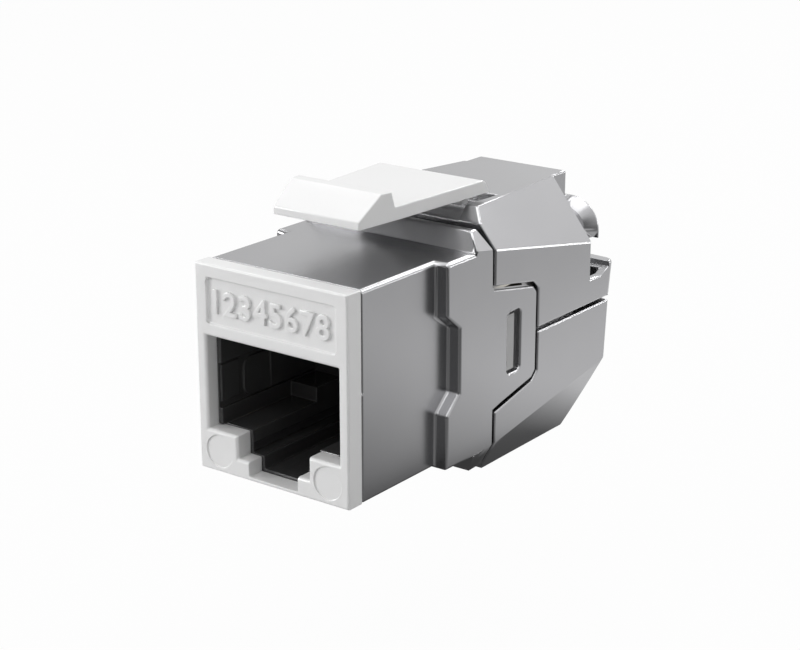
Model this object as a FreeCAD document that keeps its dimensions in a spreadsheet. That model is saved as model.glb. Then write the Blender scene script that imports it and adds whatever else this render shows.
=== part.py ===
# Shielded keystone jack for twisted-pair cable, closed without a tool.
# Frame, in millimetres: the origin is the middle of the lower edge of the bezel's
# front face, X to the right seen from the front, Y towards the cable, Z up.
import FreeCAD
import Part
import math
import os
import re
import Sketcher

os.makedirs("parts", exist_ok=True)
doc = FreeCAD.newDocument("keystone_jack")

# Driving sizes. A text that starts with "=" follows from the sizes above it.
SIZES = [
    # Bezel, seen in the panel's cut-out
    ("bezel_width", 14.6, "across the face"),
    ("bezel_height", 16.6, "up the face"),
    ("bezel_depth", 1.6, "front to back"),
    ("bezel_round", 0.2, "radius of the front edge"),
    ("label_side_margin", 1.1, "rim beside the label place"),
    ("label_top_margin", 1.05, "rim above the label place"),
    ("label_foot", 11.9, "height of the label place's lower edge"),
    ("label_depth", 0.25, "depth of the label place"),
    ("label_corner", 0.3, "corner radius of the label place"),
    ("gate_mark_out", 5.3, "gate mark from the middle"),
    ("gate_mark_up", 1.7, "gate mark above the lower edge"),
    ("gate_mark_radius", 1.32, "radius of a gate mark"),
    ("gate_mark_depth", 0.1, "depth of a gate mark"),
    ("port_half", 6.4, "half the width of the port's mouth"),
    ("port_top", 10.9, "top of the mouth"),
    ("port_bevel", 0.16, "bevel round the mouth"),
    ("shoulder_up", 3.35, "height of the mouth's shoulders"),
    ("channel_half", 3.5, "half width between the shoulders"),
    ("channel_up", 1.5, "height of the second step"),
    ("groove_half", 2.4, "half width of the plug catch's groove"),
    ("groove_up", 0.3, "foot of the groove"),
    # Port insert, moulded round the plug's space
    ("lip_wall", 0.45, "wall of the insert inside the mouth"),
    ("lip_front", 1.15, "how far the insert stands behind the face"),
    ("inner_step", 0.2, "insert's channel inside the bezel's, each side"),
    ("inner_rise", 0.05, "insert's floor above the shoulders"),
    ("groove_floor", 0.5, "floor of the groove in the insert"),
    ("rail_top", 4.72, "top of the lower rail in each side wall"),
    ("rail_high_foot", 8.35, "foot of the upper rail in each side wall"),
    ("side_recess", 0.28, "depth of the wall between the two rails"),
    ("panel_rise", 0.14, "panels stand up from that recess"),
    ("panel_front", 1.35, "front of the first panel"),
    ("panel_end", 3.4, "rear of the first panel"),
    ("panel_foot", 5.2, "foot of the first panel"),
    ("panel_top", 8.2, "top of the first panel"),
    ("stop_front", 9.4, "front of the plug's stop"),
    ("stop_top", 4.6, "top of the plug's stop"),
    ("step_groove", 0.3, "depth of the groove under each shoulder"),
    ("step_groove_front", 1.9, "front of that groove"),
    ("step_groove_top", 2.28, "top of that groove"),
    ("plug_depth", 12.6, "end of the plug's space"),
    ("pad_front", 3.95, "front of the rounded panel"),
    ("pad_end", 6.95, "rear of the rounded panel"),
    ("pad_foot", 4.8, "foot of the rounded panel"),
    ("pad_top", 8.0, "top of the rounded panel"),
    ("pad_corner", 0.9, "radius of its front corners"),
    ("rear_panel_front", 7.15, "front of the last panel"),
    ("keel_wall", 0.42, "wall under and beside the catch's groove"),
    ("fit_gap", 0.05, "gap between pieces that slide together"),
    # Contact springs
    ("contact_pitch", 1.02, "pitch of the eight springs"),
    ("contact_width", 0.46, "width of a spring"),
    ("contact_thick", 0.3, "thickness of a spring"),
    ("contact_up", 11.6, "height of the fixed run"),
    ("contact_bend_front", 3.5, "bend's centre behind the face"),
    ("contact_bend_radius", 0.45, "bend's radius at mid thickness"),
    ("contact_free_run", 6.2, "length of the free run"),
    ("contact_tail", 0.35, "tail standing out behind the board"),
    ("contact_room", 1.0, "rise of the springs over a plug"),
    ("comb_front", 6.4, "front of the comb between the springs"),
    ("comb_drop", 2.2, "comb below the fixed run's chamber"),
    ("comb_slot", 0.72, "slot of the comb"),
    # Circuit board
    ("board_gap", 0.1, "board behind the insert"),
    ("board_thick", 1.2, "thickness of the board"),
    ("board_foot", 1.2, "lower edge of the board"),
    ("board_hole_radius", 0.42, "hole round a spring's tail"),
    # Front housing, cast metal
    ("seam_front", 0.1, "seam between bezel and housing"),
    ("neck_inset", 0.03, "housing's neck inside the bezel's outline"),
    ("neck_wall", 0.55, "wall of the neck"),
    ("seam_tab_foot", 8.34, "foot of the tab that bridges the seam on each side"),
    ("seam_tab_height", 0.45, "height of that tab"),
    ("wall", 0.8, "wall of the wide parts"),
    ("body_half", 8.45, "half the width of the body"),
    ("flange_front", 10.8, "front of the flange"),
    ("flange_step", 1.65, "the flange's middle stands back by this"),
    ("flange_foot", -0.1, "underside of the flange"),
    ("step_high_out", 12.3, "upper slope of the flange, outer end"),
    ("step_high_in", 11.05, "upper slope of the flange, inner end"),
    ("step_low_in", 5.75, "lower slope of the flange, inner end"),
    ("step_low_out", 4.35, "lower slope of the flange, outer end"),
    ("rise_foot", -1.9, "underside of the raised rear wall"),
    ("tongue_root_top", 12.98, "top of a tongue at its root"),
    ("tongue_end_top", 11.97, "top of a tongue at its end"),
    ("tongue_root_foot", 2.98, "foot of a tongue at its root"),
    ("tongue_end_foot", 4.17, "foot of a tongue at its end"),
    ("tongue_chamfer", 0.55, "cut corners of a tongue"),
    ("slot_length", 1.9, "length of the catch slot"),
    ("slot_foot", 5.45, "foot of the catch slot"),
    ("slot_top", 10.6, "top of the catch slot"),
    ("slot_corner", 0.4, "corner radius of the catch slot"),
    # Facets along the upper and lower edges of the body
    ("facet_fall", 0.1816, "fall of the crease per length"),
    ("facet_slope", 1.297, "fall of the facet per width"),
    ("low_crease_front", 0.15, "height of the lower crease at the seam"),
    ("low_crease_rear", 2.8, "height of the lower crease at the end"),
    ("low_facet_in", 1.45, "how far the lower facet comes in"),
    # Upper shell
    ("seam", 0.3, "seam round the shell and the wing"),
    ("shell_lean", 0.8, "the shell's front edge leans back by this"),
    ("shell_foot", 8.2, "lower edge of the shell"),
    ("tail_round", 1.0, "radius of the tail's upright corners"),
    ("tail_rear_thick", 1.1, "thickness of the rear wall"),
    ("tail_lean", 0.45, "the rear wall leans back by this"),
    ("tail_ramp", 1.85, "length of the slope from the side walls up to the rear wall"),
    ("roof_tail_half", 4.4, "half the width of that strip"),
    ("recess_half", 4.9, "half the width of the latch's recess"),
    # Saddle for the cable tie
    ("saddle_neck_round", 2.25, "corner radius of the neck"),
    ("saddle_lip_round", 2.8, "corner radius of the lip"),
    ("cable_radius", 3.1, "radius of the cable's way"),
    ("cable_bed", 0.25, "wall under the cable's way"),
    # Lower wing
    ("wing_foot", -2.5, "underside of the wing"),
    ("wing_front_round", 0.4, "radius of the wing's lower front edge"),
    ("wing_ledge", 1.6, "ledge that the wire holder sits on"),
    ("seam_lip_thick", 0.6, "lip inside the side seam"),
    ("seam_lip_rise", 1.0, "how far the lip stands up past the wing's edge"),
    ("seam_lip_gap", 0.1, "lip inside the shell's wall"),
    # Hinge
    ("hinge_up", -1.45, "height of the hinge"),
    ("pin_radius", 0.5, "radius of the pin"),
    ("pin_fit", 0.03, "running gap round the pin"),
    ("lug_radius", 1.0, "radius of the housing's lugs"),
    ("lug_width", 1.0, "width of a lug"),
    ("lug_gap", 0.15, "side gap of a lug"),
    ("knuckle_width", 1.0, "width of the wing's knuckles"),
    ("notch_end", 1.4, "notch round a lug, behind the hinge"),
    # Wire holder and blades
    ("holder_length", 8.8, "length of the wire holder"),
    ("holder_floor", 1.2, "floor under the channels"),
    ("holder_side_gap", 0.1, "wire holder inside the wing's walls"),
    ("blade_thick", 0.4, "thickness of a blade"),
    ("blade_slit", 0.32, "slit for the wire"),
    ("blade_slit_length", 2.6, "length of the slit"),
    ("blade_row_step", 4.2, "second row behind the first"),
    # Carrier frame
    ("carrier_gap", 0.4, "carrier behind the board"),
    ("carrier_thick", 1.6, "thickness of its upright plate"),
    ("carrier_foot", 2.2, "lower edge of the plate"),
    ("shelf_thick", 0.8, "thickness of the shelf"),
    ("arm_thick", 0.7, "thickness of its side arms"),
    ("catch_length", 1.15, "length of a catch"),
    ("catch_shy", 0.25, "catch inside the housing's side"),
    ("catch_gap", 0.2, "catch above and below inside its slot"),
    # Latch
    ("latch_front", 5.5, "front end of the latch"),
    ("latch_nose_half", 4.1, "half its width at the front end"),
    ("latch_plate_half", 4.5, "half its width behind the ridge"),
    ("latch_root_half", 5.2, "half its width at the root"),
    ("latch_ridge_front", 7.95, "front of the ridge"),
    ("latch_ridge_rear", 9.04, "rear of the ridge"),
    ("latch_ridge_foot", 9.43, "rear foot of the ridge"),
    ("latch_end_round", 0.8, "length of its rounded end"),
    ("latch_stem_half", 3.2, "half the width of its stem"),
    ("latch_stem_gap", 0.25, "stem above the recess's floor"),
    # Sizes that follow from those above, each with its own clearance
    ("bezel_half", "=bezel_width / 2", "half the bezel's width"),
    ("neck_half", "=bezel_half - neck_inset", "half the width of the housing's neck"),
    ("neck_foot", "=neck_inset", "underside of the neck"),
    ("neck_top", "=bezel_height - neck_inset", "top of the neck"),
    ("neck_front", "=bezel_depth + seam_front", "front edge of the neck"),
    ("insert_rear", 1.7, "wall of the insert behind the plug's space"),
    ("insert_half", "=neck_half - neck_wall - fit_gap", "half the width of the insert"),
    ("insert_foot", "=neck_foot + neck_wall + fit_gap", "underside of the insert"),
    ("insert_top", "=neck_top - neck_wall - fit_gap", "top of the insert"),
    ("insert_end", "=plug_depth + insert_rear", "rear of the insert"),
    ("cavity_half", "=port_half - lip_wall", "half the width of the plug's space"),
    ("cavity_top", "=port_top - lip_wall", "top of the plug's space"),
    ("cavity_floor", "=shoulder_up + inner_rise", "floor of the plug's space"),
    ("keel_half", "=groove_half - inner_step + keel_wall", "half the width of the insert's keel"),
    ("chamber_over", 0.15, "springs' chamber above their highest place"),
    ("chamber_side", 0.5, "springs' chamber beside the last spring"),
    ("chamber_top", "=contact_up + contact_thick / 2 + contact_room + chamber_over",
     "top of that chamber"),
    ("chamber_half", "=contact_pitch * 3.5 + contact_width / 2 + chamber_side",
     "half the width of that chamber"),
    ("flange_top", "=neck_top", "top of the flange"),
    ("rise_high", 1.38, "raised rear wall above the flange"),
    ("rise_top", "=flange_top + rise_high", "top of the raised rear wall"),
    ("rise_lag", 0.05, "that wall starts behind the insert by this"),
    ("rise_start", "=insert_end + rise_lag", "where the raised rear wall starts"),
    ("rise_run", 0.95, "length of its slope"),
    ("rise_end", "=rise_start + rise_run", "where its slope ends"),
    ("hollow_lag", 0.4, "wide hollow behind the slope"),
    ("rear_hollow_front", "=rise_end + hollow_lag", "front of the wide hollow in the housing"),
    ("seam_lag", 2.75, "housing's rear edge behind the start of the raised wall"),
    ("seam_rear", "=rise_start + seam_lag", "rear edge of the housing"),
    ("seam_lean", 1.0, "the rear edge leans forward at its top"),
    ("seam_top", "=seam_rear - seam_lean", "rear edge of the housing at its top"),
    ("tongue_length", 6.1, "side tongues behind the rear edge"),
    ("tongue_end", "=seam_rear + tongue_length", "rear end of the side tongues"),
    ("slot_lag", 1.9, "catch slot behind the rear edge"),
    ("slot_front", "=seam_rear + slot_lag", "front of the catch slot"),
    ("crease_over", 2.745, "upper crease's line at the face, above the flange"),
    ("facet_crease", "=flange_top + crease_over", "height of the upper crease's line at the face"),
    ("shell_gap", 0.09, "shell behind the housing's rear edge"),
    ("shell_front", "=seam_rear + shell_gap", "front edge of the shell at its foot"),
    ("shell_over", 0.15, "shell's front edge above the housing"),
    ("shell_front_top", "=rise_top + shell_over", "height of the shell's front edge"),
    ("roof_over", 1.05, "roof above that edge"),
    ("roof_front", "=shell_front_top + roof_over", "height of the roof at the front"),
    ("roof_fall", 0.4, "fall of the roof to the rear"),
    ("roof_rear", "=roof_front - roof_fall", "height of the roof at the rear"),
    ("recess_floor", "=shell_front_top", "floor of the latch's recess"),
    ("recess_wall", 1.0, "wall under the latch's recess"),
    ("ceiling", "=recess_floor - recess_wall", "ceiling inside the shell"),
    ("eaves_drop", 3.7, "height of the slanted inner walls"),
    ("eaves", "=ceiling - eaves_drop", "top of the upright inner walls"),
    ("inner_half", "=body_half - wall", "half the width between the body's inner walls"),
    ("eaves_in", 2.95, "width of the slanted inner walls"),
    ("ceiling_half", "=inner_half - eaves_in", "half the width of the flat ceiling"),
    ("wing_top", "=shell_foot - seam", "upper edge of the wing"),
    ("wing_front", "=seam_rear + seam", "front edge of the wing"),
    ("ledge_width", 1.3, "width of the ledge under the wire holder"),
    ("wing_channel_half", "=inner_half - ledge_width", "half the width below the ledge"),
    ("holder_half", "=inner_half - holder_side_gap", "half the width of the wire holder"),
    ("holder_sink", 1.9, "wire holder below the wing's edge"),
    ("holder_top", "=wing_top - holder_sink", "top of the wire holder"),
    ("holder_channel_floor", "=wing_ledge + holder_floor", "floor of the wire channels"),
    ("holder_lap", 0.7, "wire holder starts before the tongues' end by this"),
    ("holder_front", "=tongue_end - holder_lap", "front of the wire holder"),
    ("holder_end_gap", 0.15, "closed part of the shell past the wire holder"),
    ("shell_end", "=holder_front + holder_length + holder_end_gap", "rear of the closed part of the shell"),
    ("tail_length", 3.7, "tail behind the closed part"),
    ("tail_end", "=shell_end + tail_length", "rear of the whole shell"),
    ("tail_wall_high", 2.15, "height of the tail's side walls"),
    ("tail_wall_top", "=shell_foot + tail_wall_high", "top of the side walls of the tail"),
    ("tail_rear_high", 3.05, "height of the tail's rear wall"),
    ("tail_rear_top", "=shell_foot + tail_rear_high", "top of the rear wall"),
    ("cable_up", "=shell_foot + cable_bed + cable_radius", "height of the cable's middle"),
    ("saddle_wall", 1.45, "saddle over the cable and inside the body's side"),
    ("saddle_neck_half", "=body_half - saddle_wall", "half the width of the saddle's neck"),
    ("saddle_neck_top", "=cable_up + cable_radius + saddle_wall", "top of the neck"),
    ("saddle_lip_high", 0.45, "lip beyond the neck"),
    ("saddle_lip_half", "=saddle_neck_half + saddle_lip_high", "half the width of the lip"),
    ("saddle_lip_top", "=saddle_neck_top + saddle_lip_high", "top of the lip"),
    ("saddle_foot_over", 1.65, "saddle's lower ends above the cable's middle"),
    ("saddle_foot", "=cable_up + saddle_foot_over", "lower ends of the saddle"),
    ("saddle_lip_shy", 0.9, "lip inside the end of the tail"),
    ("saddle_lip_thick", 1.0, "thickness of the lip"),
    ("saddle_lip_end", "=tail_end - saddle_lip_shy", "rear of the lip"),
    ("saddle_lip_front", "=saddle_lip_end - saddle_lip_thick", "front of the saddle's lip"),
    ("strip_shy", 1.45, "roof's middle strip inside the end of the tail"),
    ("roof_tail_end", "=tail_end - strip_shy", "end of the roof's middle strip"),
    ("strip_sink", 0.5, "that strip reaches into the saddle's neck"),
    ("roof_tail_foot", "=saddle_neck_top - strip_sink", "underside of the roof's middle strip"),
    ("wing_shy", 0.65, "wing inside the end of the tail"),
    ("wing_end", "=tail_end - wing_shy", "rear of the wing at its top"),
    ("wing_lean", 0.4, "the wing's rear edge leans by this"),
    ("wing_slope_end", "=wing_end - wing_lean", "where the rising part ends"),
    ("wing_slope_run", 4.4, "length of the rising part"),
    ("wing_slope_start", "=wing_slope_end - wing_slope_run", "where the underside starts to rise"),
    ("hinge_lag", 1.7, "hinge behind the housing's rear edge"),
    ("hinge_back", "=seam_rear + hinge_lag", "hinge's place behind the face"),
    ("lug_inset", 1.75, "lug's inner face inside the ledge"),
    ("lug_in", "=wing_channel_half - lug_inset", "inner face of a lug"),
    ("lug_out", "=lug_in + lug_width", "outer face of a lug"),
    ("knuckle_in", "=lug_out + lug_gap", "inner face of a knuckle"),
    ("pin_half", "=knuckle_in + knuckle_width - lug_gap", "half the length of the pin"),
    ("board_front", "=insert_end + board_gap", "front of the board"),
    ("board_rear", "=board_front + board_thick", "rear of the board"),
    ("board_side_gap", 0.12, "board inside the insert's outline"),
    ("board_half", "=insert_half - board_side_gap", "half the board's width"),
    ("board_top_gap", 0.57, "board below the insert's top"),
    ("board_top", "=insert_top - board_top_gap", "upper edge of the board"),
    ("carrier_front", "=board_rear + carrier_gap", "front of the carrier"),
    ("carrier_side_gap", 0.3, "carrier's plate inside the body's inner walls"),
    ("carrier_half", "=inner_half - carrier_side_gap", "half the carrier's width"),
    ("carrier_drop", 0.5, "carrier's plate below the slanted inner walls"),
    ("carrier_top", "=eaves - carrier_drop", "upper edge of the carrier's plate"),
    ("shelf_in", 0.6, "shelf inside the plate's sides"),
    ("shelf_half", "=carrier_half - shelf_in", "half the width of the shelf"),
    ("shelf_over", 1.2, "top of the shelf above the shell's foot"),
    ("shelf_up", "=shell_foot + shelf_over", "top of the shelf"),
    ("shelf_rear_gap", 0.35, "shelf before the shell's rear wall"),
    ("shelf_end", "=shell_end - wall - shelf_rear_gap", "end of the shelf"),
    ("arm_length", 2.2, "carrier's arms past the slot's front"),
    ("arm_end", "=slot_front + arm_length", "end of the carrier's arms"),
    ("row_shelf_rim", 0.8, "shelf beside the last blade's middle"),
    ("row_board_rim", 0.6, "board beside the last blade's middle"),
    ("row_half", "=min(shelf_half - row_shelf_rim; board_half - row_board_rim)",
     "half the row of blades, as wide as both the shelf and the board take it"),
    ("wire_pitch", "=row_half / 3.5", "pitch of the wire channels"),
    ("wire_rib", 0.5, "rib between two wire channels"),
    ("wire_channel", "=wire_pitch - wire_rib", "width of a wire channel"),
    ("blade_play", 0.2, "blade inside its channel"),
    ("blade_width", "=wire_channel - blade_play", "width of a blade"),
    ("blade_reach", 1.8, "blade below the wire holder's top"),
    ("blade_tip", "=holder_top - blade_reach", "lower end of a blade"),
    ("blade_row_lag", 2.3, "front row of blades behind the holder's front"),
    ("blade_row_front", "=holder_front + blade_row_lag", "front row of blades"),
    ("blade_leg_top", "=shelf_up + blade_thick", "top of a blade's leg"),
    ("latch_over", 0.42, "latch above the roof"),
    ("latch_foot", "=roof_front + latch_over", "underside of the latch"),
    ("latch_nose_high", 0.63, "height of its blunt front"),
    ("latch_nose", "=latch_foot + latch_nose_high", "top of its blunt front"),
    ("latch_ridge_high", 2.33, "height of the ridge"),
    ("latch_ridge_top", "=latch_foot + latch_ridge_high", "top of the ridge"),
    ("latch_plate_thick", 1.08, "thickness of the plate"),
    ("latch_plate_top", "=latch_foot + latch_plate_thick", "top of the plate"),
    ("latch_lag", 3.8, "latch's end behind the housing's rear edge"),
    ("latch_end", "=seam_rear + latch_lag", "rear end of the latch"),
    ("latch_stem_long", 1.0, "length of the stem"),
    ("latch_stem_front", "=latch_end - latch_stem_long", "front of the stem"),
    ("recess_lag", 1.5, "recess behind the latch"),
    ("recess_end", "=latch_end + recess_lag", "rear of the recess"),
]

sheet = doc.addObject("Spreadsheet::Sheet", "Sizes")
for row, (alias, value, note) in enumerate(SIZES, start=1):
    sheet.set("A%d" % row, alias)
    sheet.set("B%d" % row, str(value))
    sheet.set("C%d" % row, note)
    sheet.setAlias("B%d" % row, alias)
doc.recompute()

ALIASES = {alias for alias, value, note in SIZES}


def ex(text):
    """A formula in the sheet's aliases, as the document reads it."""
    return re.sub(r"[a-z_]+", lambda m: "Sizes." + m.group(0) if m.group(0) in ALIASES else m.group(0), text)


def val(text):
    """The present value of such a formula."""
    return float(sheet.evalExpression(ex(text)))


def new_body(label):
    body = doc.addObject("PartDesign::Body", label)
    body.Label = label
    return body


def draw_arch(sketch, half, foot, top, radius):
    """A block with two rounded upper corners, even about the sketch's upright axis."""
    shoulder = "%s - %s" % (top, radius)
    inner = "%s - %s" % (half, radius)
    corners = [
        ("-(%s)" % half, shoulder), ("-(%s)" % half, foot), (half, foot), (half, shoulder),
        (inner, top), ("-(%s)" % inner, top),
    ]
    places = [FreeCAD.Vector(val(u), val(v), 0) for u, v in corners]
    first = sketch.GeometryCount
    for start, end in ((0, 1), (1, 2), (2, 3), (4, 5)):
        sketch.addGeometry(Part.LineSegment(places[start], places[end]))
    r = val(radius)
    for side, start in ((1, 0.0), (-1, math.pi / 2)):
        centre = FreeCAD.Vector(side * val(inner), val(shoulder), 0)
        circle = Part.Circle(centre, FreeCAD.Vector(0, 0, 1), r)
        sketch.addGeometry(Part.ArcOfCircle(circle, start, start + math.pi / 2))
    left, base, right, crown, right_arc, left_arc = range(first, first + 6)
    for one, end_one, two, end_two in (
        (left, 2, base, 1), (base, 2, right, 1), (right, 2, right_arc, 1),
        (right_arc, 2, crown, 1), (crown, 2, left_arc, 1), (left_arc, 2, left, 1),
    ):
        sketch.addConstraint(Sketcher.Constraint("Coincident", one, end_one, two, end_two))
    for line, end, (u, v), place in (
        (left, 1, corners[0], places[0]), (base, 1, corners[1], places[1]),
        (right, 1, corners[2], places[2]), (right, 2, corners[3], places[3]),
        (crown, 1, corners[4], places[4]), (crown, 2, corners[5], places[5]),
    ):
        for kind, formula, where in (("DistanceX", u, place.x), ("DistanceY", v, place.y)):
            number = sketch.addConstraint(Sketcher.Constraint(kind, -1, 1, line, end, where))
            sketch.setExpression("Constraints[%d]" % number, ex(formula))
    for arc in (right_arc, left_arc):
        number = sketch.addConstraint(Sketcher.Constraint("Radius", arc, r))
        sketch.setExpression("Constraints[%d]" % number, ex(radius))


def new_sketch(body, name, plane, offset, outlines=(), circles=(), arches=()):
    """A sketch on one of the body's own planes, drawn from formulas for its corners."""
    support = [f for f in body.Origin.OriginFeatures if f.Role == plane][0]
    sketch = body.newObject("Sketcher::SketchObject", name)
    sketch.AttachmentSupport = [(support, "")]
    sketch.MapMode = "FlatFace"
    sign = "-" if plane == "XZ_Plane" else ""
    sketch.setExpression(".AttachmentOffset.Base.z", ex("%s(%s)" % (sign, offset)))
    for corners in outlines:
        first = sketch.GeometryCount
        places = [FreeCAD.Vector(val(u), val(v), 0) for u, v in corners]
        count = len(places)
        for i in range(count):
            sketch.addGeometry(Part.LineSegment(places[i], places[(i + 1) % count]))
        for i in range(count):
            follower = first + (i + 1) % count
            sketch.addConstraint(Sketcher.Constraint("Coincident", first + i, 2, follower, 1))
        for i, (u, v) in enumerate(corners):
            for axis, formula, place in (("X", u, places[i].x), ("Y", v, places[i].y)):
                kind = "Distance" + axis
                number = sketch.addConstraint(Sketcher.Constraint(kind, -1, 1, first + i, 1, place))
                sketch.setExpression("Constraints[%d]" % number, ex(formula))
    for half, foot, top, radius in arches:
        draw_arch(sketch, half, foot, top, radius)
    for u, v, radius in circles:
        centre = FreeCAD.Vector(val(u), val(v), 0)
        circle = Part.Circle(centre, FreeCAD.Vector(0, 0, 1), val(radius))
        index = sketch.addGeometry(circle)
        for kind, formula, place in (("DistanceX", u, centre.x), ("DistanceY", v, centre.y)):
            number = sketch.addConstraint(Sketcher.Constraint(kind, -1, 1, index, 3, place))
            sketch.setExpression("Constraints[%d]" % number, ex(formula))
        number = sketch.addConstraint(Sketcher.Constraint("Radius", index, val(radius)))
        sketch.setExpression("Constraints[%d]" % number, ex(radius))
    return sketch


def pad(body, name, plane, start, length, outlines=(), circles=(), arches=()):
    """Material from a start along the plane's axis, towards plus."""
    feature = body.newObject("PartDesign::Pad", name)
    feature.Profile = new_sketch(body, name + "_sketch", plane, start, outlines, circles, arches)
    feature.setExpression("Length", ex(length))
    feature.Reversed = plane == "XZ_Plane"
    body.Tip = feature
    return feature


def pocket(body, name, plane, start, length, outlines=(), circles=()):
    """A cut from a start along the plane's axis, towards plus."""
    feature = body.newObject("PartDesign::Pocket", name)
    feature.Profile = new_sketch(body, name + "_sketch", plane, start, outlines, circles)
    feature.setExpression("Length", ex(length))
    feature.Reversed = plane != "XZ_Plane"
    body.Tip = feature
    return feature


def both_sides(feature, full_width):
    """Lets a pad or pocket run evenly to both sides of its sketch."""
    feature.SideType = "Symmetric"
    feature.setExpression("Length", ex(full_width))
    return feature


def slanted(feature, fall):
    """Turns the feature's direction so that it drops by fall per length."""
    feature.UseCustomVector = True
    feature.Direction = FreeCAD.Vector(0, 1, -val(fall))
    feature.setExpression("Direction.z", ex("-(%s)" % fall))
    return feature


def box(low_u, high_u, low_v, high_v):
    return [(low_u, low_v), (high_u, low_v), (high_u, high_v), (low_u, high_v)]


def mirrored(corners):
    return [("-(%s)" % u, v) for u, v in corners]


def edges(feature, test, along=None):
    """Names of the edges whose two ends pass the test, and that run along the axis if one is given."""
    doc.recompute()
    found = []
    for number, edge in enumerate(feature.Shape.Edges, start=1):
        ends = [vertex.Point for vertex in edge.Vertexes]
        if not ends or not all(test(point) for point in ends):
            continue
        if along is None or abs(edge.tangentAt(edge.FirstParameter)[along]) > 0.95:
            found.append("Edge%d" % number)
    return found


def fillet(body, name, base, test, radius, along=None):
    feature = body.newObject("PartDesign::Fillet", name)
    feature.Base = (base, edges(base, test, along))
    feature.setExpression("Radius", ex(radius))
    body.Tip = feature
    return feature


def near(value, formula):
    return abs(value - val(formula)) < 1e-4


# Outlines that several pieces share

mouth = [
    ("-port_half", "shoulder_up"), ("-channel_half", "shoulder_up"),
    ("-channel_half", "channel_up"), ("-groove_half", "channel_up"),
    ("-groove_half", "groove_up"), ("groove_half", "groove_up"),
    ("groove_half", "channel_up"), ("channel_half", "channel_up"),
    ("channel_half", "shoulder_up"), ("port_half", "shoulder_up"),
    ("port_half", "port_top"), ("-port_half", "port_top"),
]

plug_space = [
    ("-cavity_half", "cavity_floor"), ("-channel_half + inner_step", "cavity_floor"),
    ("-channel_half + inner_step", "channel_up + inner_rise"),
    ("-groove_half + inner_step", "channel_up + inner_rise"),
    ("-groove_half + inner_step", "groove_floor"), ("groove_half - inner_step", "groove_floor"),
    ("groove_half - inner_step", "channel_up + inner_rise"),
    ("channel_half - inner_step", "channel_up + inner_rise"),
    ("channel_half - inner_step", "cavity_floor"), ("cavity_half", "cavity_floor"),
    ("cavity_half", "cavity_top"), ("-cavity_half", "cavity_top"),
]

# Bezel

bezel = new_body("front_bezel")
bezel_plate = pad(
    bezel, "bezel_plate", "XZ_Plane", "0", "bezel_depth",
    [box("-bezel_half", "bezel_half", "0", "bezel_height")],
)
bezel_rim = fillet(bezel, "bezel_rim", bezel_plate, lambda p: near(p.y, "0"), "bezel_round")
bezel_mouth = pocket(bezel, "bezel_mouth", "XZ_Plane", "0", "bezel_depth", [mouth])
bezel_bevel = bezel.newObject("PartDesign::Chamfer", "bezel_mouth_bevel")
bezel_bevel.Base = (bezel_mouth, edges(
    bezel_mouth,
    lambda p: near(p.y, "0") and abs(p.x) < val("port_half") + 0.01
    and val("groove_up") + 0.01 < p.z < val("port_top") + 0.01,
))
bezel_bevel.setExpression("Size", ex("port_bevel"))
bezel.Tip = bezel_bevel
label_place = pocket(
    bezel, "label_place", "XZ_Plane", "0", "label_depth",
    [box("-bezel_half + label_side_margin", "bezel_half - label_side_margin",
         "label_foot", "bezel_height - label_top_margin")],
)
fillet(
    bezel, "label_corners", label_place,
    lambda p: near(abs(p.x), "bezel_half - label_side_margin") and p.z > val("port_top") + 0.2
    and p.y < val("label_depth") + 0.01,
    "label_corner", along=1,
)
pocket(
    bezel, "gate_marks", "XZ_Plane", "0", "gate_mark_depth", circles=[
        ("-gate_mark_out", "gate_mark_up", "gate_mark_radius"),
        ("gate_mark_out", "gate_mark_up", "gate_mark_radius"),
    ],
)

# Port insert

insert = new_body("port_insert")
pad(
    insert, "insert_block", "XZ_Plane", "bezel_depth", "insert_end - bezel_depth",
    [box("-insert_half", "insert_half", "insert_foot", "insert_top")],
)
pad(
    insert, "insert_keel", "XZ_Plane", "bezel_depth", "plug_depth + lip_wall - bezel_depth",
    [box("-keel_half", "keel_half", "groove_floor - keel_wall", "insert_foot + lip_wall")],
)
pad(
    insert, "insert_lip", "XZ_Plane", "lip_front", "bezel_depth - lip_front",
    [box("-port_half + fit_gap", "port_half - fit_gap", "cavity_floor", "port_top - fit_gap")],
)
pocket(insert, "plug_space", "XZ_Plane", "lip_front", "plug_depth - lip_front", [plug_space])
both_sides(
    pocket(insert, "side_recesses", "YZ_Plane", "0", "cavity_half",
           [box("lip_front - 0.5", "plug_depth", "rail_top", "rail_high_foot")]),
    "2 * (cavity_half + side_recess)",
)
panels = [
    box("panel_front", "panel_end", "panel_foot", "panel_top"),
    box("pad_front", "pad_end", "pad_foot", "pad_top"),
    box("rear_panel_front", "plug_depth + 0.1", "pad_foot", "pad_top"),
]
panel_faces = ["cavity_half + side_recess - panel_rise", "-cavity_half - side_recess - 0.1"]
for number, start in enumerate(panel_faces, start=1):
    panel_pad = pad(
        insert, "wall_panels_%d" % number, "YZ_Plane", start, "panel_rise + 0.1", panels,
    )
fillet(
    insert, "pad_corners", panel_pad,
    lambda p: near(p.y, "pad_front") and abs(p.x) < val("cavity_half + side_recess") + 0.01
    and min(abs(p.z - val("pad_foot")), abs(p.z - val("pad_top"))) < 1e-4,
    "pad_corner", along=0,
)
pad(
    insert, "plug_stops", "XZ_Plane", "stop_front", "plug_depth - stop_front",
    [
        box("-cavity_half - lip_wall / 2", "-channel_half + inner_step",
            "cavity_floor - lip_wall / 2", "stop_top"),
        box("channel_half - inner_step", "cavity_half + lip_wall / 2",
            "cavity_floor - lip_wall / 2", "stop_top"),
    ],
)
pocket(
    insert, "step_grooves", "XZ_Plane", "step_groove_front", "plug_depth - step_groove_front",
    [box("-channel_half + inner_step - step_groove", "channel_half - inner_step + step_groove",
         "channel_up + inner_rise", "step_groove_top")],
)
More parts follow.
